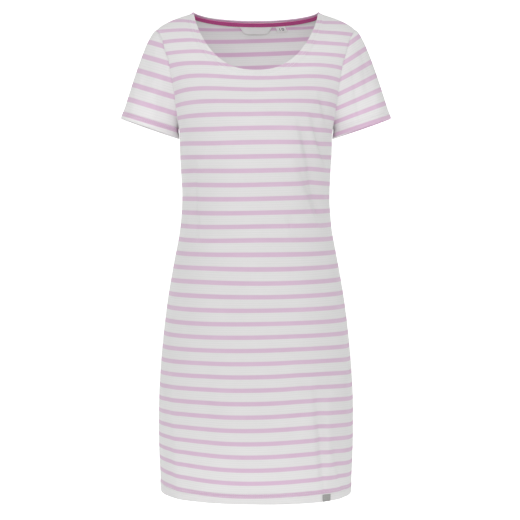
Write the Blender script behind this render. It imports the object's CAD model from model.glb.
# A short-sleeved t-shirt dress in white cotton jersey with narrow lilac stripes, filled out as it is when
# worn and hollow. Every piece is worked out in millimetres, +Z up, front towards -Y, with the origin midway
# between the two neck points, and is turned to metres where its mesh is made. A drop is a depth under the
# origin.
import math

import bpy
import numpy as np
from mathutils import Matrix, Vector


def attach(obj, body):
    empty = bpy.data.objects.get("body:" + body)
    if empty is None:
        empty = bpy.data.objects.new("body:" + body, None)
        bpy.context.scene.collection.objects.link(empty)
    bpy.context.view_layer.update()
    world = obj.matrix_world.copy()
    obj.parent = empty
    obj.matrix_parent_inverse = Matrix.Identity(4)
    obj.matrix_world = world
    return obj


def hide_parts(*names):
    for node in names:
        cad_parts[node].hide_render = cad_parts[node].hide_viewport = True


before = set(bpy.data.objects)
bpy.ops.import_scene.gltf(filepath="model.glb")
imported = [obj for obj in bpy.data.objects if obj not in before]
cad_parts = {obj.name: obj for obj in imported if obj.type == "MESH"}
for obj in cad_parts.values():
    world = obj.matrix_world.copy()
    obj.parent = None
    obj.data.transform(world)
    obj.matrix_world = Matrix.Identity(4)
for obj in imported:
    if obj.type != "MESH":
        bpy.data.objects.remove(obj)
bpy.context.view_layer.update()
mm = 0.001
print("frame loaded:", len(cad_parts), "nodes")

# Camera, at the height of the waist, as the garment was photographed
camera = {"lens": 89.8, "place": (0, -2400, -343.9), "down": 2.65, "right": 0.177}

eye = bpy.data.objects.new("camera", bpy.data.cameras.new("camera"))
bpy.context.scene.collection.objects.link(eye)
eye.data.lens = camera["lens"]
eye.data.sensor_width = 36
eye.data.clip_end = 50
eye.location = Vector(camera["place"]) * mm
eye.rotation_euler = (math.radians(90 - camera["down"]), 0, -math.radians(camera["right"]))
bpy.context.scene.camera = eye
bpy.context.scene.view_settings.view_transform = "Standard"
bpy.context.scene.view_settings.look = "None"


# A hex colour such as #e9e9e9 as linear red, green, blue and alpha
def linear(hexColour):
    share = np.array([int(hexColour[k : k + 2], 16) for k in (1, 3, 5)]) / 255
    turned = np.where(share <= 0.04045, share / 12.92, ((share + 0.055) / 1.055) ** 2.4)
    return (*turned.tolist(), 1.0)


# Adds a node with its settings. In values, a socket or a node's first output is linked to that input, and
# anything else is set on it
def addNode(tree, kind, values=None, **settings):
    node = tree.nodes.new(kind)
    for name, setting in settings.items():
        setattr(node, name, setting)
    for name, value in (values or {}).items():
        value = value.outputs[0] if isinstance(value, bpy.types.Node) else value
        if isinstance(value, bpy.types.NodeSocket):
            tree.links.new(value, node.inputs[name])
        else:
            node.inputs[name].default_value = value
    return node


def newMaterial(name, values):
    material = bpy.data.materials.new(name)
    material.use_nodes = True
    shader = material.node_tree.nodes["Principled BSDF"]
    for setting, value in values.items():
        shader.inputs[setting].default_value = value
    return material, material.node_tree, shader


# How far along a line of points each of them lies
def runTo(points, axis=0):
    steps = np.linalg.norm(np.diff(points, axis=axis), axis=-1)
    return np.insert(np.cumsum(steps, axis), 0, 0, axis)


# The filled-out body as level sections: the drop, half the width with the arm roots included, the depths in
# front of and behind the centre, and how boxy the section is (2 is an ellipse)
sections = np.array(
    [
        (0, 113, 8, 42, 2.2),
        (12, 148, 20, 57, 2.2),
        (31, 181.5, 39.5, 72.5, 2.2),
        (60, 187, 65, 88, 2.2),
        (100, 177.5, 86, 101, 2.2),
        (158, 158, 113, 109, 2.3),
        (214, 141.5, 133, 106, 2.45),
        (260, 139.5, 137, 97, 2.5),
        (345, 136, 125, 84, 2.35),
        (400, 140.5, 120.5, 89, 2.3),
        (460, 151.5, 122, 103, 2.3),
        (520, 162, 125, 117, 2.3),
        (600, 172, 123.5, 123, 2.3),
        (700, 179.6, 119, 114, 2.3),
        (790, 180.4, 118, 107, 2.3),
        (884, 176.6, 122, 102, 2.3),
    ]
)

dress = {
    "length": 884,  # neck point straight down to the hem
    "hemSlant": 2.3,  # how much lower the hem hangs at the wearer's left, and higher at the right
    "underarm": 214,
    "shoulderTip": 31,
    "neckHalfWidth": 113,
    "neckShare": 0.625,  # the column that ends on the neck point
    "wall": 1.2,  # one layer of jersey
    "hemWall": 2.2,  # two layers, where an edge is turned in
    "seamGap": 0.3,
    "topRim": 1.0,  # how far the top edge rounds out, and a sleeve's start
    "sleeveRim": 0.2,
    "necklines": {"front": (114, 2.4, 1.4), "back": (8.5, 2.2, 1.25)},  # depth, curve across, curve down
    "armholeReach": {"front": 50, "back": 53},
    "armholeWidest": 145,
    "armholeCurve": (1.7, 2),  # above and below its widest place
    "yokeInset": 31,  # from here up the rows follow the top edge
    "shoulderBunching": 1.2,
}
facing = {"front": -1, "back": 1}
farAway = 1e3  # stands for a distance from an edge that a point has nothing to do with


# A smooth curve through values at some places: cubics whose slopes come from the values on both sides, and
# straight past both ends
def smoothCurve(at, value):
    gap = np.diff(at)
    slope = np.diff(value) / gap
    inner = (slope[:-1] * gap[1:] + slope[1:] * gap[:-1]) / (gap[:-1] + gap[1:])
    tangent = np.concatenate([slope[:1], inner, slope[-1:]])

    def curve(place):
        held = np.clip(place, at[0], at[-1])
        i = np.clip(np.searchsorted(at, held, side="right") - 1, 0, len(gap) - 1)
        t = (held - at[i]) / gap[i]
        rest = 1 - t
        inside = value[i] * (1 + 2 * t) * rest**2 + value[i + 1] * t**2 * (3 - 2 * t)
        bend = gap[i] * t * rest * (tangent[i] * rest - tangent[i + 1] * t)
        return inside + bend + np.where(place < at[0], tangent[0], tangent[-1]) * (place - held)

    return curve


halfWidth, frontDepth, backDepth, squareness = (
    smoothCurve(sections[:, 0], sections[:, column]) for column in (1, 2, 3, 4)
)
depthOf = {"front": frontDepth, "back": backDepth}


def gridOf(*coordinates):
    return np.stack(np.broadcast_arrays(*coordinates), -1).astype(float)


def unit(vectors):
    return vectors / np.maximum(np.linalg.norm(vectors, axis=-1, keepdims=True), 1e-9)


# How far out a point lies: (|x| / half width)^n + (|y| / depth)^n, which is 1 on the cloth
def reachOf(face, x, y, drop):
    power = squareness(drop)
    return (np.abs(x) / halfWidth(drop)) ** power + (np.abs(y) / depthOf[face](drop)) ** power


# The slope of that reach, which points straight out of the cloth
def gradientAt(face, points):
    x, y, drop = points[..., 0], points[..., 1], -points[..., 2]
    power, a, b = squareness(drop), halfWidth(drop), depthOf[face](drop)
    step = 0.5
    return np.stack(
        [
            np.sign(x) * power * (np.abs(x) / a) ** (power - 1) / a,
            np.sign(y) * power * (np.abs(y) / b) ** (power - 1) / b,
            (reachOf(face, x, y, drop - step) - reachOf(face, x, y, drop + step)) / (2 * step),
        ],
        -1,
    )


# The cloth at a place across and a drop: y = depth (1 - (|x| / half width)^n)^(1/n)
def clothAt(face, across, drop):
    power = squareness(drop)
    inside = np.maximum(0, 1 - (np.abs(across) / halfWidth(drop)) ** power)
    y = facing[face] * depthOf[face](drop) * inside ** (1 / power)
    return gridOf(across, y, -drop)


# The cloth at a distance before or behind the side seam and a drop, by the same formula turned to x
def sideAt(face, side, y, drop):
    power = squareness(drop)
    x = halfWidth(drop) * (1 - (y / depthOf[face](drop)) ** power) ** (1 / power)
    return gridOf(side * x, facing[face] * y, -drop)


# Moves points that are near the cloth onto it by Newton's steps along its slope
def settled(face, points):
    for _ in range(5):
        gradient = gradientAt(face, points)
        excess = reachOf(face, points[..., 0], points[..., 1], -points[..., 2]) - 1
        points = points - gradient * (excess / (gradient**2).sum(-1))[..., None]
    return points


# The armhole's edge, an oval: y = reach (1 - share^curve)^(1/2), share being how far it is from its widest
def armholeAt(face, side, drop):
    widest, reach = dress["armholeWidest"], dress["armholeReach"][face]
    above, below = dress["armholeCurve"]
    span = np.where(drop < widest, widest - dress["shoulderTip"], dress["underarm"] - widest)
    share = np.minimum(1, np.abs(drop - widest) / span)
    y = reach * np.sqrt(1 - share ** np.where(drop < widest, above, below))
    return sideAt(face, side, y, drop)


# The drop at which the upper part of the armhole is an inset away from the shoulder seam
def armholeDropAt(face, inset):
    share = (1 - (inset / dress["armholeReach"][face]) ** 2) ** (1 / dress["armholeCurve"][0])
    return dress["armholeWidest"] - (dress["armholeWidest"] - dress["shoulderTip"]) * share


# The neckline: x = half width sin(90 degrees share), drop = depth (1 - (|x| / half width)^across)^(1/down)
def necklineAt(face, s):
    depth, across, down = dress["necklines"][face]
    share = np.sin(s / dress["neckShare"] * math.pi / 2)
    x = dress["neckHalfWidth"] * share
    return clothAt(face, x, depth * np.maximum(0, 1 - np.abs(share) ** across) ** (1 / down))


# The neckline moved into the cloth by an inset, square to its edge
def insetFromNeckline(face, s, inset):
    points = necklineAt(face, s)
    step, most = 0.004, dress["neckShare"]
    along = necklineAt(face, np.minimum(most, s + step)) - necklineAt(face, np.maximum(-most, s - step))
    inwards = unit(np.cross(along, unit(gradientAt(face, points)))) * -facing[face]
    return settled(face, points + inwards * inset)


# The share of the way to the neck point at which the neckline's inset is as far from the shoulder seam too
def mitreShare(face, inset):
    low, high = 0.0, 1.0
    for _ in range(20):
        middle = (low + high) / 2
        point = insetFromNeckline(face, np.array([middle * dress["neckShare"]]), inset)
        low, high = (middle, high) if abs(point[0, 1]) > inset else (low, middle)
    return high


# A row at an inset from the top edge: the neckline between the neck points, a shoulder seam beyond each
def insetFromTop(face, s, inset):
    most = dress["neckShare"]
    mitre = mitreShare(face, inset)
    row = insetFromNeckline(face, np.clip(s, -most, most) * mitre, inset)
    for side in (-1, 1):
        start = insetFromNeckline(face, np.array([side * most * mitre]), inset)[0]
        end = armholeAt(face, side, np.array(armholeDropAt(face, inset)))
        beyond = s * side > most
        way = (s[beyond] * side - most) / (1 - most)
        y = abs(start[1]) + (abs(end[1]) - abs(start[1])) * way
        drop = -start[2] - (end[2] - start[2]) * way ** dress["shoulderBunching"]
        row[beyond] = sideAt(face, side, y, drop)
    return row


# Rows between the underarm and the first one that follows the top edge. Each column runs straight in its
# place across, plus its share of the armhole's bow
def yokeRows(face, s, shares):
    top = insetFromTop(face, s, dress["yokeInset"])
    underarm = dress["underarm"]
    foot = halfWidth(np.array(float(underarm)))
    side = armholeAt(face, 1, np.array(armholeDropAt(face, dress["yokeInset"])))
    share = shares[:, None]
    drop = underarm - (top[None, :, 2] + underarm) * share
    edge = armholeAt(face, 1, underarm - (side[2] + underarm) * share)[..., 0]
    bow = edge - foot - (side[0] - foot) * share
    across = foot * np.sin(s * math.pi / 2)[None] * (1 - share) + top[None, :, 0] * share + s[None] * bow
    rows = clothAt(face, across, drop)
    for column in (0, -1):
        rows[:, column] = armholeAt(face, np.sign(s[column]), drop[:, column])
    return rows


# Rows level with the hem, which slants more the nearer they are to it
def levelRows(face, s, drops):
    lowness = (drops - dress["underarm"]) / (dress["length"] - dress["underarm"])
    drop = drops + s * dress["hemSlant"] * lowness**2
    return clothAt(face, halfWidth(drop) * np.sin(s * math.pi / 2), drop)


# How much folds lift the cloth. Each runs from its start to its end and is highest in the middle of its run:
# rise sin(along)^0.8 exp(-(aside / width)^2), with a width for each side
def foldRise(rows, across, drop):
    total = np.zeros(np.broadcast(across, drop).shape)
    for (startX, startDrop), (endX, endDrop), width, rise in rows:
        runX, runDrop = endX - startX, endDrop - startDrop
        length = math.hypot(runX, runDrop)
        share = ((across - startX) * runX + (drop - startDrop) * runDrop) / length**2
        aside = ((across - startX) * runDrop - (drop - startDrop) * runX) / length
        swell = np.sin(math.pi * np.clip(share, 0, 1)) ** 0.8
        inner, outer = np.broadcast_to(width, 2)
        total += rise * swell * np.exp(-((aside / np.where(aside < 0, inner, outer)) ** 2))
    return total


waves = {"shortest": 70, "longest": 190, "count": 7}


# Broad unevenness of a soft knit: a few sine waves of different length, direction and place
def unevenness(across, drop, height, seed):
    draw = np.random.default_rng(seed)
    total = np.zeros(np.broadcast(across, drop).shape)
    for wave in draw.uniform(waves["shortest"], waves["longest"], waves["count"]):
        turn, start = draw.uniform(0, math.pi), draw.uniform(0, 2 * math.pi)
        total += np.sin(2 * math.pi * (across * math.cos(turn) + drop * math.sin(turn)) / wave + start)
    return total * height / waves["count"]


# Makes a closed shell of cloth from a grid of outer points: the inner points lie a wall behind them along
# the normals, and half-round rims, reach deep, close the first and last rows. cloth is each point's place on
# the fabric, across and up. A ring's grid repeats its first column at the end
def shellMesh(name, outer, normals, wall, cloth, reach, ring=False):
    rows, columns = outer.shape[:2]
    inner = outer - normals * wall[..., None]
    rims = []
    for end, before, deep in ((0, 1, reach[0]), (-1, -2, reach[1])):
        middle, half = (outer[end] + inner[end]) / 2, wall[end][:, None] / 2
        out = unit(outer[end] - outer[before]) * deep
        turns = np.radians([45, 0, -45])
        rims.append([middle + normals[end] * half * math.sin(a) + out * math.cos(a) for a in turns])
    points = np.array([*outer, *rims[1], *inner[::-1], *rims[0][::-1]])
    places = np.array([*cloth, *[cloth[-1]] * 3, *cloth[::-1], *[cloth[0]] * 3])
    around, stored = len(points), columns - 1 if ring else columns
    lower, left = np.mgrid[:around, : columns - 1]
    upper, right = (lower + 1) % around, left + 1
    cells = ((lower, left), (lower, right), (upper, right), (upper, left))
    faces = np.stack([row * stored + column % stored for row, column in cells], -1).reshape(-1, 4)
    corners = np.stack([places[row, column] for row, column in cells], -2).reshape(-1, 4, 2)
    if not ring:
        # The cut sides, from the outer rows to the inner ones, and the ends of both rims
        low = np.arange(rows - 1)
        high = around - 4 - low
        rimTop = [[rows - 1, rows, rows + 2, rows + 3], [rows, rows + 1, rows + 2, rows + 2]]
        rimFoot = [[around - 4, around - 3, around - 1, 0], [around - 3, around - 2, around - 1, around - 1]]
        side = np.concatenate([np.stack([low, low + 1, high - 1, high], -1), rimTop, rimFoot])
        for edge, order in ((0, [0, 1, 2, 3]), (columns - 1, [1, 0, 3, 2])):
            faces = np.concatenate([faces, side[:, order] * stored + edge])
            corners = np.concatenate([corners, places[side[:, order], edge]])
    return meshObject(name, points[:, :stored].reshape(-1, 3), faces, corners)


# Makes an object of points in mm and four-cornered faces; a face whose last two corners are one point is a
# triangle. places gives each corner's place on the fabric in mm
def meshObject(name, points, faces, places=None):
    mesh = bpy.data.meshes.new(name)
    single = faces[:, 2] == faces[:, 3]
    sizes = np.where(single, 3, 4)
    kept = np.ones(faces.shape, bool)
    kept[single, 3] = False
    corners = faces[kept]
    mesh.vertices.add(len(points))
    mesh.vertices.foreach_set("co", (points * mm).astype(np.float32).ravel())
    mesh.loops.add(len(corners))
    mesh.loops.foreach_set("vertex_index", corners.astype(np.int32))
    mesh.polygons.add(len(faces))
    starts = np.concatenate([[0], np.cumsum(sizes)[:-1]])
    mesh.polygons.foreach_set("loop_start", starts.astype(np.int32))
    mesh.update(calc_edges=True)
    mesh.validate()
    if places is not None:
        layer = mesh.uv_layers.new(name="cloth")
        layer.data.foreach_set("uv", places[kept].astype(np.float32).ravel())
    mesh.polygons.foreach_set("use_smooth", np.ones(len(mesh.polygons), bool))
    piece = bpy.data.objects.new(name, mesh)
    bpy.context.scene.collection.objects.link(piece)
    return piece


# The stripes of the front, as far as they lie above their even spacing, at drops (first number) and at five
# places across from the wearer's right side to the left
stripes = {
    "spacing": 24.28,
    "lowest": 9.17,  # the middle of the lowest stripe, up from the hem
    "across": (-0.9, -0.5, 0, 0.5, 0.9),
    "lifts": [
        (0, 18, 17, 14, 13, 14),
        (25, 15, 13.5, 11, 9.6, 10),
        (45, 10.6, 12, 9, 7, 3.6),
        (70, 7, 9.3, 6, 3.6, 2),
        (95, 6.5, 9, 3, 4.8, 1.2),
        (120, 1.5, 7.2, 1.2, 5.6, 1),
        (150, 0.8, 5.8, 2.7, 5.9, 1.6),
        (180, 1.6, 4.3, 4, 5.3, 1),
        (220, 1.9, 1.2, 2.3, 2.8, 1.9),
        (290, 1.2, 0.3, 0.6, 2.4, 3.7),
        (360, -1.1, -1.9, -1.1, 0.5, 1.9),
        (420, -1.8, -2.2, -1.1, -0.9, -0.3),
        (470, -2.4, -2.8, -3.8, -3, -1.6),
        (560, -3.5, -3.7, -3, -1.8, -1.8),
        (660, -1.5, -0.6, -0.3, 2.3, 0),
        (760, 3.7, 1.9, 0.8, 4.2, 1.9),
        (830, 11.5, 5.6, 2.9, 6.2, 4.8),
        (884, 13.8, 8.6, 6.6, 8.8, 8.2),
    ],
    "widest": 0.96,  # the share of the half width beyond which the lift stays the same
    "neckDroop": 6.5,  # beside the neckline at the wearer's right
    "neckDroopWidth": 13,
    "neckDroopEnd": 25,  # how far above the foot of the neckline it starts to fade
    "kinks": [  # beyond the folds under the wearer's left arm, as rows of folds
        ((116, 205), (136, 330), (12, 16), -1.6),
        ((104, 330), (128, 420), (10, 14), -0.8),
    ],
    "backLifts": [(0, 3), (9, 4.2), (23, 9), (42, 4.8), (66, -1.4), (91, -4.9), (160, -2), (884, 2)],
    "backTilt": 0.03,
}

# Height above the hem along the centre front
levelDrops = np.linspace(-40, 900, 1881)
levelLengths = runTo(np.stack([frontDepth(levelDrops), levelDrops], -1))
levelLengths = np.interp(dress["length"], levelDrops, levelLengths) - levelLengths
liftTable = np.array(stripes["lifts"], float)
liftCurves = [smoothCurve(liftTable[:, 0], liftTable[:, column]) for column in range(1, 6)]
backTable = np.array(stripes["backLifts"], float)
backLift = smoothCurve(backTable[:, 0], backTable[:, 1])


# Where a point of the body lies among the stripes, in mm up the cloth from the middle of the lowest one: its
# height along the centre front, less the lift, which runs as the quartic through the five places across. At
# the back it is the back's own lift in the middle and runs into the front's at the side seams. Beside the
# neckline at the wearer's right the stripes droop by neckDroop exp(-(distance / width)^2)
def stripePlace(face, points):
    drop = -points[..., 2]
    share = np.clip(points[..., 0] / halfWidth(drop), -stripes["widest"], stripes["widest"])
    places = stripes["across"]
    if face == "back":
        sides = liftCurves[0](drop) * (0.5 - share / 2) + liftCurves[4](drop) * (0.5 + share / 2)
        lift = sides + (backLift(drop) + stripes["backTilt"] * points[..., 0] - sides) * (1 - share**4)
    else:
        lift = 0
        for j, curve in enumerate(liftCurves):
            others = [k for k in range(5) if k != j]
            weight = np.prod([(share - places[k]) / (places[j] - places[k]) for k in others], axis=0)
            lift = lift + curve(drop) * weight
        depth, across, down = dress["necklines"]["front"]
        edge = dress["neckHalfWidth"] * (1 - np.clip(drop / depth, 0, 1) ** down) ** (1 / across)
        beside = np.where(points[..., 0] < 0, np.abs(points[..., 0]) - edge, farAway)
        near = np.exp(-((beside / stripes["neckDroopWidth"]) ** 2))
        near = near * np.clip((depth - drop) / stripes["neckDroopEnd"], 0, 1)
        lift = lift - stripes["neckDroop"] * near + foldRise(stripes["kinks"], points[..., 0], drop)
    return np.interp(drop, levelDrops, levelLengths) - lift - stripes["lowest"]


# Folds, each as (start, end, width, rise) in mm, with its start and end as (across, drop). A rise under 0 is a
# trough. Where width has two values, the first is for the side towards the wearer's right
folds = {
    "front": [
        # Under the wearer's left arm, falling towards the waist
        ((76, 196), (122, 384), (7.5, 17), -8.5),
        ((98, 184), (135, 302), (6.5, 14), -8),
        ((112, 146), (137, 234), (6, 11), -5),
        ((93, 236), (127, 345), 8, 2.2),
        ((72, 268), (136, 418), (8, 16), -7.5),
        ((52, 366), (68, 410), (4, 8), -2.6),
        # At the wearer's right side, where the cloth turns from the front to the waist
        ((-112, 248), (-108, 425), (13, 6), -4.4),
        ((-109, 350), (-107, 420), 4, -2),
        ((-70, 196), (-98, 330), 17, -2),
        # Down the skirt
        ((107, 660), (129, 905), (8, 16), -6.5),
        ((129, 690), (131, 905), 8, 3.4),
        ((137, 770), (168, 905), (6, 11), -5),
        ((-152, 680), (-136, 905), (8, 12), 4.2),
        ((-164, 620), (-161, 745), 8, -2.6),
        ((60, 560), (86, 760), 18, -2.2),
        ((-84, 600), (-92, 830), 20, -2),
    ],
    "back": [
        # Across the small of the back
        ((-96, 262), (-38, 374), (9, 16), -7.5),
        ((98, 278), (44, 390), (15, 8), -7),
        ((-72, 326), (66, 352), (15, 8), -6),
        ((-56, 378), (72, 396), (14, 8), -4.2),
        # From the armholes
        ((-130, 184), (-86, 296), (6, 13), -5.2),
        ((131, 178), (97, 282), (12, 6), -4.8),
        # Down the skirt
        ((-88, 660), (-97, 905), (9, 16), -6),
        ((64, 690), (70, 905), (16, 11), 5),
        ((124, 630), (133, 905), (8, 14), -4.6),
        ((-20, 540), (-28, 800), 20, -2.6),
    ],
}

cloth = {
    "columns": (46, 34),  # on each side of the middle: below the neck and below the shoulder
    "hemRows": 22,
    "skirtRows": 162,
    "yokeRows": 52,
    "bandRows": (8, 14),  # below the neck's band and on it
    "crowding": {"side": 1.6, "yoke": 1.3},  # how much closer the columns and rows get there
    "firstYokeShare": 0.0008,  # small, so that the edge keeps to the armhole where that runs level
    "foldEnd": 6,  # folds fade at the side seams by 1 - |s|^6
    "seamDip": 0.8,  # how far the cloth sinks at a seam
    "seamWidth": 2.3,
    "sideGap": 0.05,  # half of the gap at the side seams
    "stitchDip": 0.45,  # how far it sinks under a line of stitches
    "stitchWidth": 1.2,
    "unevenness": 0.6,
    "calm": {"top": 60, "side": 25},  # from how far from an edge the cloth is uneven in full
    "seeds": {"front": 3, "back": 8},
}

# Turned edges: how deep they are, how far they stand out, where their stitches run and how high their puckers
# are, with what they have in common
hems = {
    "hem": {"depth": 19, "ridge": 0.8, "stitches": (13.5, 18), "pucker": 0.35},
    "neck": {"depth": 12.5, "ridge": 1.5, "stitches": (6.5, 11), "pucker": 0.35},
    "cuff": {"depth": 15, "ridge": 0.8, "stitches": (10, 14.3), "pucker": 0},
}
hemShape = {"softness": 0.9, "puckerLength": 11.5, "puckerDrift": 37, "puckerReach": 8}


# Columns from -1 to 1, closer together towards the sides, with one on each neck point
def columnPlaces():
    inner, outer = cloth["columns"]
    most, crowding = dress["neckShare"], cloth["crowding"]["side"]
    half = np.concatenate(
        [np.linspace(0, most, inner + 1), 1 - (1 - most) * (1 - np.arange(1, outer + 1) / outer) ** crowding]
    )
    return np.concatenate([-half[:0:-1], half])


def dip(distance, deep, width):
    return -deep * np.exp(-((distance / width) ** 2))


# How a turned edge lifts the cloth. Its two layers stand out and end softly:
# ridge (1 - tanh((from edge - depth) / softness)) / 2. It puckers where the needle has drawn it together, in
# waves of uneven length that are highest between its lines of stitches:
# sin(2 pi along / length + 2 sin(along / drift)) exp(-((from edge - middle) / reach)^2). The lines sink in
def turnedRise(kind, along, fromEdge):
    edge = hems[kind]
    rise = edge["ridge"] * (0.5 - 0.5 * np.tanh((fromEdge - edge["depth"]) / hemShape["softness"]))
    turn = 2 * math.pi * along / hemShape["puckerLength"] + 2 * np.sin(along / hemShape["puckerDrift"])
    near = (fromEdge - sum(edge["stitches"]) / 2) / hemShape["puckerReach"]
    rise = rise + edge["pucker"] * np.sin(turn) * np.exp(-(near**2))
    for line in edge["stitches"]:
        rise = rise + dip(fromEdge - line, cloth["stitchDip"], cloth["stitchWidth"])
    return rise


# The rows of a body piece from the hem to the top edge, with how far each is from the hem and from the top
def bodyBase(face):
    s = columnPlaces()[:: -facing[face]]
    length, hem, band, edge = dress["length"], hems["hem"]["depth"], hems["neck"]["depth"], dress["hemWall"] / 2
    skirt = np.linspace(length - hem - 1, dress["underarm"], cloth["skirtRows"])
    drops = np.append(np.linspace(length - edge, length - hem, cloth["hemRows"]), skirt)
    shares = (np.arange(1, cloth["yokeRows"]) / cloth["yokeRows"]) ** cloth["crowding"]["yoke"]
    shares = np.append(cloth["firstYokeShare"], shares)
    below, above = cloth["bandRows"]
    insets = np.append(np.linspace(dress["yokeInset"], band + 1, below), np.linspace(band, edge, above))
    rows = [levelRows(face, s[None], drops[:, None]), yokeRows(face, s, shares)]
    rows.append(np.array([insetFromTop(face, s, inset) for inset in insets]))
    fromTop = np.append(np.full(len(drops) + len(shares), farAway), insets)
    fromHem = np.append(length - drops, np.full(len(shares) + len(insets), farAway))
    return s, np.concatenate(rows), fromHem, fromTop


def bodyFolds(face, s, base):
    return foldRise(folds[face], base[..., 0], -base[..., 2]) * (1 - np.abs(s) ** cloth["foldEnd"])


# How far the folds, the cloth's own unevenness, the seams and the hems lift each point
def bodyRise(face, s, base, fromHem, fromTop):
    along = runTo(base, 1)
    fromSide = np.minimum(along, along[:, -1:] - along)
    calm, deep, width = cloth["calm"], cloth["seamDip"], cloth["seamWidth"]
    calmed = np.clip(fromTop / calm["top"], 0, 1)[:, None] * np.clip(fromSide / calm["side"], 0, 1)
    onShoulder = (np.abs(s) > dress["neckShare"])[None]
    rise = bodyFolds(face, s, base)
    rise += unevenness(base[..., 0], -base[..., 2], cloth["unevenness"], cloth["seeds"][face]) * calmed
    rise += dip(fromSide, deep, width) + dip(fromTop[:, None], deep, width) * onShoulder
    rise += turnedRise("hem", along, fromHem[:, None])
    rise += turnedRise("neck", along, fromTop[:, None]) * ~onShoulder
    return rise, along - along[:, [len(s) // 2]]


def bodyCloth(name, face):
    s, base, fromHem, fromTop = bodyBase(face)
    normals = unit(gradientAt(face, base))
    rise, across = bodyRise(face, s, base, fromHem, fromTop)
    outer = base + normals * rise[..., None]
    outer[..., 1] = facing[face] * np.maximum(np.abs(outer[..., 1]), cloth["sideGap"])
    onNeck = np.abs(s) <= dress["neckShare"]
    onBand = (fromTop <= hems["neck"]["depth"])[:, None] & onNeck[None]
    turned = (fromHem <= hems["hem"]["depth"])[:, None] | onBand
    wall = np.where(turned, dress["hemWall"], dress["wall"])
    places = np.stack([across, stripePlace(face, base)], -1)
    piece = shellMesh(name, outer, normals, wall, places, (dress["hemWall"] / 2, dress["topRim"]))
    grids = np.concatenate([outer, normals], -1)
    lines = [rowAt(grids, fromHem, line) for line in hems["hem"]["stitches"]]
    lines += [rowAt(grids, fromTop, line)[onNeck] for line in hems["neck"]["stitches"]]
    return piece, outer, lines


# The row of a grid at a distance from an edge, between the two rows beside it
def rowAt(grid, distances, distance):
    order = np.argsort(distances)
    after = np.searchsorted(distances[order], distance)
    low, high = order[after - 1], order[after]
    share = (distance - distances[low]) / (distances[high] - distances[low])
    return grid[low] * (1 - share) + grid[high] * share


# Sleeves. Each is a tube from its armhole to its cuff
sleeve = {
    "columns": 132,
    "rows": 58,
    "hemRows": 16,
    "cuffOuter": (248.5, 194.5),  # across and drop of the cuff's outermost point
    "cuffInner": (142.3, 231.3),  # and of the one beside the body
    "cuffHalfDepth": 47,
    "lift": (0.2, 0.9),  # how steeply it leaves the body, at the shoulder and at the underarm
    "leastPull": (15, 16),  # how far its start and its end pull the line, at least
    "pull": (0.35, 0.86),  # and as shares of its length
    "hemShare": 0.4,  # the most of a line's length that the hem takes
    "armholeSteps": 1500,
    "unevenness": 0.5,
    "seeds": {"left": 13, "right": 11},
    "behind": (12, 8),  # how much further in and lower the same folds lie behind
}
# Folds at the front of each sleeve, as rows of folds
sleeveFolds = {
    "left": [
        ((194, 62), (206, 182), (9, 14), -3.2),
        ((174, 100), (190, 218), (6, 11), -3),
        ((216, 110), (222, 205), 8, 1.6),
    ],
    "right": [
        ((190, 66), (214, 172), (13, 8), -2.8),
        ((166, 116), (178, 220), (10, 6), -2.6),
        ((206, 96), (226, 196), 8, 1.4),
    ],
}
sleeveStripes = {
    "left": (181.2, -87.1, 103.3, 4.43, -18.1, -7.3),
    "right": (98.8, -22.6, 87.6, -2.32, -2.97, -0.57),
}


# The armhole as a ring from the shoulder tip down the front to the underarm and up the back: its points,
# the cloth's normals, the share of the way down, and which face each is on
def armholeRing(count):
    halves = []
    for face in ("front", "back"):
        fine = armholeAt(face, 1, np.linspace(dress["shoulderTip"], dress["underarm"], sleeve["armholeSteps"]))
        length = runTo(fine)
        share = np.linspace(0, 1, count // 2 + 1)
        drop = -np.interp(share * length[-1], length, fine[:, 2])
        drop[[0, -1]] = dress["shoulderTip"], dress["underarm"]
        points = armholeAt(face, 1, drop)
        sign = np.full(len(share), facing[face])
        halves.append((points, unit(gradientAt(face, points)), share, sign))
    return [np.concatenate([front, back[-2:0:-1]]) for front, back in zip(*halves)]


# Lines along the sleeve. Each leaves the armhole in the line of the body cloth, lifted away from it, and
# comes to the cuff along the sleeve's own axis: the cubic with those two slopes
def sleeveLines(count):
    points, normals, share, sign = armholeRing(count)
    (outX, outDrop), (inX, inDrop) = sleeve["cuffOuter"], sleeve["cuffInner"]
    centre = np.array([(outX + inX) / 2, 0, -(outDrop + inDrop) / 2])
    outwards = np.array([outX - inX, 0, inDrop - outDrop])
    half = np.linalg.norm(outwards) / 2
    outwards = outwards / (2 * half)
    axis = np.array([outwards[2], 0, -outwards[0]])
    around = unit(np.roll(points, -1, 0) - np.roll(points, 1, 0))
    onwards = unit(np.cross(normals, around))
    turn = share * math.pi
    lift = sleeve["lift"][0] + (sleeve["lift"][1] - sleeve["lift"][0]) * np.sqrt(np.sin(turn / 2))
    leaving = unit(onwards + normals * lift[:, None])
    cuff = centre + outwards * (half * np.cos(turn))[:, None]
    cuff[:, 1] = sign * sleeve["cuffHalfDepth"] * np.sin(turn)
    start = points + onwards * dress["seamGap"]
    way = np.linalg.norm(cuff - start, axis=1)
    pullStart, pullEnd = (np.maximum(sleeve["leastPull"][k], sleeve["pull"][k] * way) for k in (0, 1))

    def at(t):
        t = t[..., None]
        rest = 1 - t
        bend = leaving * pullStart[:, None] * t * rest**2 - axis * pullEnd[:, None] * t**2 * rest
        return start * (1 + 2 * t) * rest**2 + cuff * t**2 * (3 - 2 * t) + bend

    return at, way, normals


# Where a point of a sleeve lies among its stripes: a + b x + c z + d x^2 + e x z + f z^2, with x outwards and
# z upwards in units of 100 mm
def sleeveStripePlace(name, points):
    a, b, c, d, e, f = sleeveStripes[name]
    x, z = np.abs(points[..., 0]) / 100, points[..., 2] / 100
    return a + b * x + c * z + d * x**2 + e * x * z + f * z**2


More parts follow.
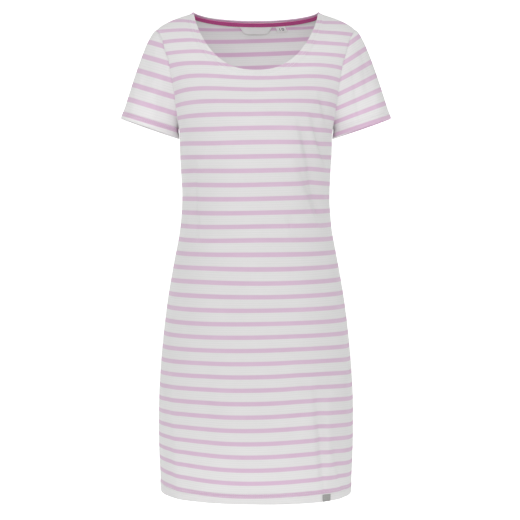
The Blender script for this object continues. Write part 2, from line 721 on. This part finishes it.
def sleeveBase(side):
    hem = hems["cuff"]["depth"]
    at, way, startNormals = sleeveLines(sleeve["columns"])
    deep = np.concatenate([[hem + 1], np.linspace(hem, dress["hemWall"] / 2, sleeve["hemRows"])])
    toCuff = 1 - deep[:, None] * np.minimum(sleeve["hemShare"] / hem, 1 / way)[None]
    t = np.concatenate([np.linspace(0, 1, sleeve["rows"])[:-1, None] * toCuff[:1], toCuff])
    base = at(t)
    along = np.roll(base, -1, 1) - np.roll(base, 1, 1)
    normals = unit(np.cross(along, np.gradient(base, axis=0)))
    normals[0] = startNormals
    fromCuff = np.append(np.full(sleeve["rows"] - 1, farAway), deep)
    if side < 0:
        base, normals = base[:, ::-1] * [-1, 1, 1], normals[:, ::-1] * [-1, 1, 1]
    return base, normals, fromCuff


def sleeveCloth(name, side):
    base, normals, fromCuff = sleeveBase(side)
    fromArmhole = runTo(base)
    x, drop, y = np.abs(base[..., 0]), -base[..., 2], base[..., 1]
    key = "left" if side > 0 else "right"
    (inwards, lower), calm = sleeve["behind"], cloth["calm"]["side"]
    rise = foldRise(sleeveFolds[key], x, drop) * np.clip(-y / calm, 0, 1)
    rise += foldRise(sleeveFolds[key], x + inwards, drop - lower) * np.clip(y / calm, 0, 1)
    rise += unevenness(x + y, drop, sleeve["unevenness"], sleeve["seeds"][key])
    rise = rise * np.clip(fromArmhole / calm, 0, 1) + dip(fromArmhole, cloth["seamDip"], cloth["seamWidth"])
    rise += turnedRise("cuff", 0, fromCuff[:, None])
    outer = base + normals * rise[..., None]
    wall = np.where(fromCuff <= hems["cuff"]["depth"], dress["hemWall"], dress["wall"])
    wall = np.broadcast_to(wall[:, None], x.shape)
    around = np.linalg.norm(base - np.roll(base, 1, 1), axis=-1).mean(0)
    across = np.cumsum(around) - around[0]
    closed = [np.concatenate([grid, grid[:, :1]], 1) for grid in (outer, normals, wall, base)]
    places = gridOf(np.append(across, across[-1] + around[0]), sleeveStripePlace(key, closed[3]))
    piece = shellMesh(name, *closed[:3], places, (dress["sleeveRim"], dress["hemWall"] / 2), ring=True)
    grids = np.concatenate(closed[:2], -1)
    return piece, closed[0], [rowAt(grids, fromCuff, line) for line in hems["cuff"]["stitches"]]


frontCloth, frontGrid, frontLines = bodyCloth("frontCloth", "front")
backCloth, backGrid, backLines = bodyCloth("backCloth", "back")
leftSleeveCloth, leftGrid, leftLines = sleeveCloth("leftSleeveCloth", 1)
rightSleeveCloth, rightGrid, rightLines = sleeveCloth("rightSleeveCloth", -1)
print("cloth made:", [len(piece.data.polygons) for piece in (frontCloth, backCloth, leftSleeveCloth)])

everything = slice(None)
leastSide = 0.0101


# The cut of a piece, measured on its cloth in metres: the widest of the rows that run straight across it, the
# longest of the columns that run straight down it, or only the middle one, and its area, each cell of the grid
# giving half the cross product of its diagonals
def cutOf(grid, rows=everything, columns=None):
    columns = [grid.shape[1] // 2] if columns is None else columns
    width = np.linalg.norm(np.diff(grid[rows], axis=1), axis=-1).sum(1).max()
    length = np.linalg.norm(np.diff(grid[:, columns], axis=0), axis=-1).sum(0).max()
    across, back = grid[1:, 1:] - grid[:-1, :-1], grid[1:, :-1] - grid[:-1, 1:]
    area = np.linalg.norm(np.cross(across, back), axis=-1).sum() / 2
    return tuple(max(float(side * mm), leastSide) for side in (width, length)), float(area * mm**2)


# Trim: the tape and labels inside the back neck and the tag at the hem
trim = {
    "wall": 1.0,
    "tapeStart": 3.5,
    "tapeEnd": 12.5,
    "tapeGrid": (121, 12),  # columns and rows
    "tapeBare": 3,  # columns without stitches at each of its ends
    "rest": 0.15,  # between the cloth and what lies on it
    "rim": 0.15,  # how far an edge rounds out
    "main": {
        "across": 0, "halfTop": 30, "halfFoot": 19.5,
        "height": 17, "lean": 0, "corner": 4, "grid": (31, 14),
    },
    "size": {
        "across": 45, "halfTop": 8.3, "halfFoot": 8.3,
        "height": 13, "lean": 0.2, "corner": 0.8, "grid": (13, 14),
    },
    "tag": {
        "across": 126, "halfTop": 6.8, "halfFoot": 6.8,
        "height": 12, "lean": 0, "corner": 0.8, "grid": (9, 12),
    },
    "tagFoot": 0.8,
    "tagClear": 0.3,  # between the hem's ridge and the tag
    "tapeStitchLines": (4.6, 11.4),
}
# The tape and labels lie against the inner side of the neck's band
insideBand = -dress["hemWall"] - trim["rest"]

# The size woven into the small label
number = {
    "half": (2.1, 3.1),  # half the width and height of a digit
    "stroke": 1.1,
    "apart": 2.6,  # from the digits' middle to each of them
    "middle": 6.8,  # down from the label's top
    "steps": (29, 8),  # round the ring and along the bar
    "raised": 0.12,
    "clear": 0.05,
}


# A label's places, foot first: across from its middle and down from its top, with a quarter circle at each
# corner of its foot
def labelPlaces(label):
    columns, rows = label["grid"]
    down = label["height"] * (1 - np.sin(np.linspace(0, math.pi / 2, rows)))[:, None]
    up = label["height"] - down
    corner = label["corner"]
    half = label["halfFoot"] + (label["halfTop"] - label["halfFoot"]) * up / label["height"]
    half = half - corner + np.sqrt(corner**2 - np.clip(corner - up, 0, corner) ** 2)
    middle = label["across"] - label["lean"] * (up - label["height"] / 2)
    return middle + half * np.linspace(-1, 1, columns), down


# A thin shell that lies a lift above the cloth at the base points, or under it for a lift below 0. across and
# down are its places on its own fabric
def trimMesh(name, face, base, lift, across, down, wall=trim["wall"], ring=False):
    normals = unit(gradientAt(face, base))
    thick, rims = np.full(base.shape[:2], wall), (trim["rim"], trim["rim"])
    return shellMesh(name, base + normals * lift, normals, thick, gridOf(across, -down), rims, ring)


def neckTapeMesh():
    columns, rows = trim["tapeGrid"]
    s = np.linspace(1, -1, columns) * dress["neckShare"]
    insets = np.linspace(trim["tapeEnd"], trim["tapeStart"], rows)
    base = insetFromNeckline("back", s[None], insets[:, None, None])
    # The ends run on to the shoulder seams
    for _ in range(3):
        base[:, [0, -1], 1] = dress["seamGap"]
        base[:, [0, -1]] = settled("back", base[:, [0, -1]])
    along = runTo(base[(len(base) - 1) // 2])
    piece = trimMesh("neckTapeCloth", "back", base, insideBand, along[None], insets[:, None])
    normals = unit(gradientAt("back", base))
    grids = np.concatenate([base + normals * (insideBand - trim["wall"]), -normals], -1)
    sewn = grids[:, trim["tapeBare"] : -trim["tapeBare"]]
    lines = [rowAt(sewn, insets, line) for line in trim["tapeStitchLines"]]
    return piece, base, lines


# Places inside the back neck, across from the middle and down from the tape's foot
def insideNeck(across, down):
    s = dress["neckShare"] * 2 / math.pi * np.arcsin(across / dress["neckHalfWidth"])
    return insetFromNeckline("back", s, (trim["tapeEnd"] + dress["seamGap"] + down)[..., None])


def neckLabelMesh(name, label):
    across, down = labelPlaces(label)
    across = across[:, ::-1]
    base = insideNeck(across, down)
    return trimMesh(name, "back", base, insideBand, across - label["across"], down), base


# The size, a plain 10: a bar, and a ring of x = half width cos(turn), z = half height sin(turn)
def sizeNumber():
    label = trim["size"]
    lift = insideBand - trim["wall"] - number["clear"]
    (half, tall), stroke, (ringSteps, barSteps) = number["half"], number["stroke"], number["steps"]
    turn = np.linspace(0, 2 * math.pi, ringSteps)[None]
    grow = np.array([[-stroke], [0.0]])
    ringX = label["across"] + number["apart"] + (half + grow) * np.cos(turn)
    ringDown = number["middle"] - (tall + grow) * np.sin(turn)
    barX = label["across"] - number["apart"] + np.array([[stroke, -stroke]]) / 2
    barDown = number["middle"] - np.linspace(-tall, tall, barSteps)[:, None]
    barX, barDown = np.broadcast_arrays(barX, barDown)
    pieces = []
    shapes = (("sizeDigitOne", barX, barDown, False), ("sizeDigitZero", ringX, ringDown, True))
    for name, x, down, ring in shapes:
        x = x - label["lean"] * (label["height"] / 2 - down)
        pieces.append(trimMesh(name, "back", insideNeck(x, down), lift, x, down, number["raised"], ring))
    return pieces


def hemTagMesh():
    label = trim["tag"]
    across, down = labelPlaces(label)
    length = dress["length"]
    s = 2 / math.pi * np.arcsin(across / halfWidth(length))
    base = levelRows("front", s, length - trim["tagFoot"] - label["height"] + down)
    rise = bodyFolds("front", s, base) + hems["hem"]["ridge"] + trim["tagClear"]
    lifted = base + unit(gradientAt("front", base)) * rise[..., None]
    lift = trim["rest"] + trim["wall"]
    return trimMesh("hemTagCloth", "front", lifted, lift, across - label["across"], down), base


neckTapeCloth, tapeGrid, tapeLines = neckTapeMesh()
mainLabelCloth, mainGrid = neckLabelMesh("mainLabelCloth", trim["main"])
sizeLabelCloth, sizeGrid = neckLabelMesh("sizeLabelCloth", trim["size"])
digits = sizeNumber()
hemTagCloth, tagGrid = hemTagMesh()
print("trim made: a tape, two labels with", len(digits), "digits, and a tag")

stitch = {"pitch": 3.3, "length": 2.7, "thread": 0.32, "sections": 5}


# Stitches along lines of points and normals. Each is a four-sided length of thread between two needle holes,
# its half thickness thread (0.3 + 0.7 swell), raised by thread (swell - 0.5), with swell = cos(along)^(1/2)
def stitchMesh(name, lines):
    points = []
    for line in lines:
        length = runTo(line[:, :3])
        count = int(length[-1] / stitch["pitch"])
        share = np.linspace(-0.5, 0.5, stitch["sections"])
        place = (np.arange(count) + 0.5)[:, None] * length[-1] / count + share * stitch["length"]
        at = np.stack([np.interp(place, length, line[:, k]) for k in range(6)], -1)
        out = unit(at[..., 3:])
        along = unit(np.gradient(at[..., :3], axis=1))
        swell = (np.cos(share * math.pi).clip(0, 1) ** 0.5)[None, :, None]
        middle = at[..., :3] + out * (stitch["thread"] * (swell - 0.5))
        half = (stitch["thread"] * (0.3 + 0.7 * swell))[..., None, :]
        turn = (np.arange(4) + 0.5)[:, None] * math.pi / 2
        around = np.cross(along, out)[..., None, :] * np.cos(turn) + out[..., None, :] * np.sin(turn)
        points.append((middle[..., None, :] + around * half).reshape(-1, 3))
    points = np.concatenate(points)
    sections = stitch["sections"]
    first = (np.arange(len(points) // (4 * sections)) * 4 * sections)[:, None, None]
    ring = np.arange(sections - 1)[:, None] * 4
    turn = np.arange(4)
    onwards = (turn + 1) % 4
    sides = np.stack([ring + turn, ring + 4 + turn, ring + 4 + onwards, ring + onwards], -1).reshape(-1, 4)
    ends = np.array([turn, (sections - 1) * 4 + turn[::-1]])
    faces = first + np.concatenate([sides, ends])
    return meshObject(name, points, faces.reshape(-1, 4))


frontStitches = stitchMesh("frontStitches", frontLines)
backStitches = stitchMesh("backStitches", backLines)
leftStitches = stitchMesh("leftSleeveStitches", leftLines)
rightStitches = stitchMesh("rightSleeveStitches", rightLines)
tapeStitches = stitchMesh("tapeStitches", tapeLines)
print("stitches made:", len(frontStitches.data.polygons), len(leftStitches.data.polygons))


# Cotton jersey: a single knit, bleached white, with stripes knitted in lilac yarn. It is matt, with a soft
# bloom at grazing angles, and thin enough to let some light through to its other side. Its wales are 0.7 mm
# apart in real jersey, which wouldn't show, so they are 1.5 mm here and the courses 1.2 mm
jersey = {
    "white": "#e7e6e6",
    "lilac": "#dac0d4",
    "barred": "#dfe0de",  # courses that knit a shade duller
    "barring": 4.05,  # from one to the next
    "patches": 0.02,  # of barring, per mm
    "stripeHalf": 3.9,
    "edge": 0.7,
    "wale": 1.5,
    "course": 1.2,
    "relief": {"Strength": 0.12, "Distance": 0.0003},
    "shader": {
        "Roughness": 0.9,
        "Specular IOR Level": 0.25,
        "Sheen Weight": 0.08,
        "Subsurface Weight": 1.0,
        "Subsurface Radius": (1.0, 1.0, 1.0),
        "Subsurface Scale": 0.003,
    },
}


# A wave that repeats with a length along the fabric: sin(2 pi place / length)
def waveAlong(tree, place, length):
    turn = addNode(tree, "ShaderNodeMath", {0: place, 1: 2 * math.pi / length}, operation="MULTIPLY")
    return addNode(tree, "ShaderNodeMath", {0: turn}, operation="SINE")


def jerseyMaterial():
    material, tree, shader = newMaterial("cotton jersey, striped", jersey["shader"])
    place = addNode(tree, "ShaderNodeUVMap", uv_map="cloth").outputs["UV"]
    parts = addNode(tree, "ShaderNodeSeparateXYZ", {"Vector": place})
    across, up = parts.outputs["X"], parts.outputs["Y"]
    # Distance from the middle of the nearest stripe
    away, half = up, stripes["spacing"] / 2
    for step, value in (("ADD", half), ("FLOORED_MODULO", 2 * half), ("SUBTRACT", half), ("ABSOLUTE", 0)):
        away = addNode(tree, "ShaderNodeMath", {0: away, 1: value}, operation=step)
    full, none = jersey["stripeHalf"] - jersey["edge"], jersey["stripeHalf"] + jersey["edge"]
    stripe = addNode(
        tree,
        "ShaderNodeMapRange",
        {"Value": away, "From Min": full, "From Max": none, "To Min": 1.0, "To Max": 0.0},
        interpolation_type="SMOOTHSTEP",
    )
    patches = addNode(tree, "ShaderNodeTexNoise", {"Vector": place, "Scale": jersey["patches"], "Detail": 2.0})
    bars = waveAlong(tree, up, jersey["barring"])
    bar = addNode(tree, "ShaderNodeMath", {0: bars, 1: patches}, operation="MULTIPLY")
    colour = linear(jersey["white"])
    for share, over in ((bar, "barred"), (stripe, "lilac")):
        mixed = {0: share, 6: colour, 7: linear(jersey[over])}
        colour = addNode(tree, "ShaderNodeMix", mixed, data_type="RGBA").outputs[2]
    tree.links.new(colour, shader.inputs["Base Color"])
    # Knit: a rib of wales, crossed by courses
    wale, course = waveAlong(tree, across, jersey["wale"]), waveAlong(tree, up, jersey["course"])
    knit = addNode(tree, "ShaderNodeMath", {0: wale, 1: course}, operation="ADD")
    bump = addNode(tree, "ShaderNodeBump", {**jersey["relief"], "Height": knit})
    tree.links.new(bump.outputs[0], shader.inputs["Normal"])
    return material


# Woven trim: threads that cross at an angle and shade each other, so the cloth shows fine slanting ribs, which
# lie a rib's width apart and are turned for the kind of weave. The white label glows a little, because optical
# brightener turns unseen light into light that shows
weaves = {
    "tape": {"name": "cotton twill tape, fuchsia", "colours": ("#c85090", "#e063a6"), "rib": 1.1, "turn": 60},
    "label": {"name": "woven satin label, white", "colours": ("#f3f4f1", "#fdfdfc"), "rib": 0.8, "turn": 0},
    "tag": {"name": "woven damask tag, grey", "colours": ("#9a9a98", "#b0b0ae"), "rib": 0.9, "turn": 30},
}
weaveShaders = {
    "tape": {"Roughness": 0.85},
    "label": {"Roughness": 0.6, "Emission Color": linear("#ffffff"), "Emission Strength": 0.1},
    "tag": {"Roughness": 0.75},
}
weaveRelief = {"Strength": 0.3, "Distance": 0.0002}


def weaveMaterial(kind):
    weave = weaves[kind]
    material, tree, shader = newMaterial(weave["name"], {"Specular IOR Level": 0.3, **weaveShaders[kind]})
    place = addNode(tree, "ShaderNodeUVMap", uv_map="cloth")
    rotation = (0, 0, math.radians(weave["turn"]))
    turned = addNode(tree, "ShaderNodeMapping", {"Vector": place.outputs["UV"], "Rotation": rotation})
    parts = addNode(tree, "ShaderNodeSeparateXYZ", {"Vector": turned})
    rib = waveAlong(tree, parts.outputs["X"], weave["rib"])
    share = addNode(tree, "ShaderNodeMapRange", {"Value": rib, "From Min": -1.0, "From Max": 1.0})
    shade, light = weave["colours"]
    mixed = {0: share, 6: linear(shade), 7: linear(light)}
    colour = addNode(tree, "ShaderNodeMix", mixed, data_type="RGBA")
    tree.links.new(colour.outputs[2], shader.inputs["Base Color"])
    bump = addNode(tree, "ShaderNodeBump", {**weaveRelief, "Height": rib})
    tree.links.new(bump.outputs[0], shader.inputs["Normal"])
    return material


# Sewing thread: spun polyester, a little glossier than the cloth, in tones that change along it as its twist
# turns to the light
def threadMaterial(name, light, shade):
    material, tree, shader = newMaterial(name, {"Roughness": 0.5})
    place = addNode(tree, "ShaderNodeTexCoord")
    twisted = {"Vector": place.outputs["Object"], "Scale": 900.0, "Detail": 1.0}  # a turn of the yarn is 1.1 mm
    twist = addNode(tree, "ShaderNodeTexNoise", twisted)
    mixed = {0: twist, 6: linear(shade), 7: linear(light)}
    colour = addNode(tree, "ShaderNodeMix", mixed, data_type="RGBA")
    tree.links.new(colour.outputs[2], shader.inputs["Base Color"])
    return material


fabrics = {"jersey": jerseyMaterial(), **{kind: weaveMaterial(kind) for kind in weaves}}
threads = {
    "jersey": threadMaterial("sewing thread, white", "#f4f4f4", "#e2e2e4"),
    "tape": threadMaterial("sewing thread, fuchsia", "#c8489a", "#a8327c"),
    "label": threadMaterial("weaving thread, grey", "#8c8c92", "#6e6e76"),
}

# Each piece of cloth, with its slot, the node that it takes the place of, its cut (a sleeve's all round at its
# cuff), how it is held, what it lies on, and what is sewn to it
level, cuff = slice(0, cloth["hemRows"] + cloth["skirtRows"]), slice(-1, None)
garment = (
    (frontCloth, "jersey", "front", cutOf(frontGrid, level, everything), "hung", [], [frontStitches]),
    (backCloth, "jersey", "back", cutOf(backGrid, level, everything), "hung", [], [backStitches]),
    (leftSleeveCloth, "jersey", "sleeve_left", cutOf(leftGrid, cuff, everything), "hung", [], [leftStitches]),
    (rightSleeveCloth, "jersey", "sleeve_right", cutOf(rightGrid, cuff, everything), "hung", [], [rightStitches]),
    (neckTapeCloth, "tape", "neck_tape", cutOf(tapeGrid), "laid", [backCloth], [tapeStitches]),
    (mainLabelCloth, "label", "main_label", cutOf(mainGrid), "hung", [], []),
    (sizeLabelCloth, "label", "size_label", cutOf(sizeGrid), "hung", [], digits),
    (hemTagCloth, "tag", "hem_tag", cutOf(tagGrid), "laid", [frontCloth], []),
)
for piece, slot, node, (flat, area), held, under, sewn in garment:
    for part, material in ((piece, fabrics[slot]), *((thread, threads[slot]) for thread in sewn)):
        part.data.materials.append(material)
        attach(part, "root")
    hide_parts(node)
    print(piece.name, "cut", [round(side, 4) for side in flat], "area", round(area, 5))

# Floor, cove and light
studio = {
    "floor": -1.4,
    "ahead": -9.0,
    "behind": 5.0,
    "height": 7.0,
    "radius": 1.2,
    "half": 9.0,
    "glow": {"From Min": 0.3, "From Max": 1.8, "To Min": 0.02, "To Max": 0.68},  # by the distance behind
    "world": 0.24,
}


# The floor and the wall behind it as one sheet: flat, a quarter circle, then upright
def backdropMesh():
    radius, turn = studio["radius"], np.linspace(0, math.pi / 2, 17)
    y = np.array([studio["ahead"], *(studio["behind"] - radius * (1 - np.sin(turn))), studio["behind"]])
    z = studio["floor"] + np.array([0, *(radius * (1 - np.cos(turn))), studio["height"]])
    x = np.array([-studio["half"], studio["half"]])
    points = gridOf(x[None], y[:, None], z[:, None]).reshape(-1, 3)
    low = np.arange(len(y) - 1) * 2
    return meshObject("floor", points / mm, np.stack([low, low + 1, low + 3, low + 2], -1))


floor = backdropMesh()
paper, paperTree, paperShader = newMaterial(
    "matt white background paper",
    {"Base Color": linear("#f4f4f4"), "Roughness": 1.0, "Emission Color": linear("#ffffff")},
)
# Brighter behind the dress than under it
paperPlace = addNode(paperTree, "ShaderNodeTexCoord")
paperParts = addNode(paperTree, "ShaderNodeSeparateXYZ", {"Vector": paperPlace.outputs["Object"]})
paperFade = {"Value": paperParts.outputs["Y"], **studio["glow"]}
paperGlow = addNode(paperTree, "ShaderNodeMapRange", paperFade, interpolation_type="SMOOTHSTEP")
paperTree.links.new(paperGlow.outputs[0], paperShader.inputs["Emission Strength"])
floor.data.materials.append(paper)

world = bpy.data.worlds.new("studio")
world.use_nodes = True
world.node_tree.nodes["Background"].inputs["Color"].default_value = linear("#ffffff")
world.node_tree.nodes["Background"].inputs["Strength"].default_value = studio["world"]
bpy.context.scene.world = world


# Soft lights: where each stands and what it faces, in m, its width and height, and its watts
lights = {
    "key light": ((-1.9, -2.5, 0.9), (0, 0, -0.4), (1.4, 1.4), 13),
    "front light": ((0.1, -2.7, 0.75), (0, 0, -0.2), (3.4, 1.2), 33),
    "left side light": ((2.1, -1.6, -0.3), (0, 0, -0.35), (0.6, 1.0), 11.5),
    "right side light": ((-2.2, -1.3, -0.4), (0, 0, -0.4), (0.6, 1.0), 7),
    "top light": ((-0.2, -1.6, 1.7), (0, 0, -0.1), (1.2, 0.8), 8.5),
    "back light": ((0.0, 2.2, 0.9), (0, 0, -0.2), (2.0, 1.6), 16),
}
for name, (place, target, (width, height), watts) in lights.items():
    light = bpy.data.lights.new(name, "AREA")
    light.shape, light.size, light.size_y, light.energy = "RECTANGLE", width, height, watts
    lamp = bpy.data.objects.new(name, light)
    lamp.location = place
    lamp.rotation_euler = (Vector(target) - Vector(place)).to_track_quat("-Z", "Y").to_euler()
    bpy.context.scene.collection.objects.link(lamp)
print("stage made")
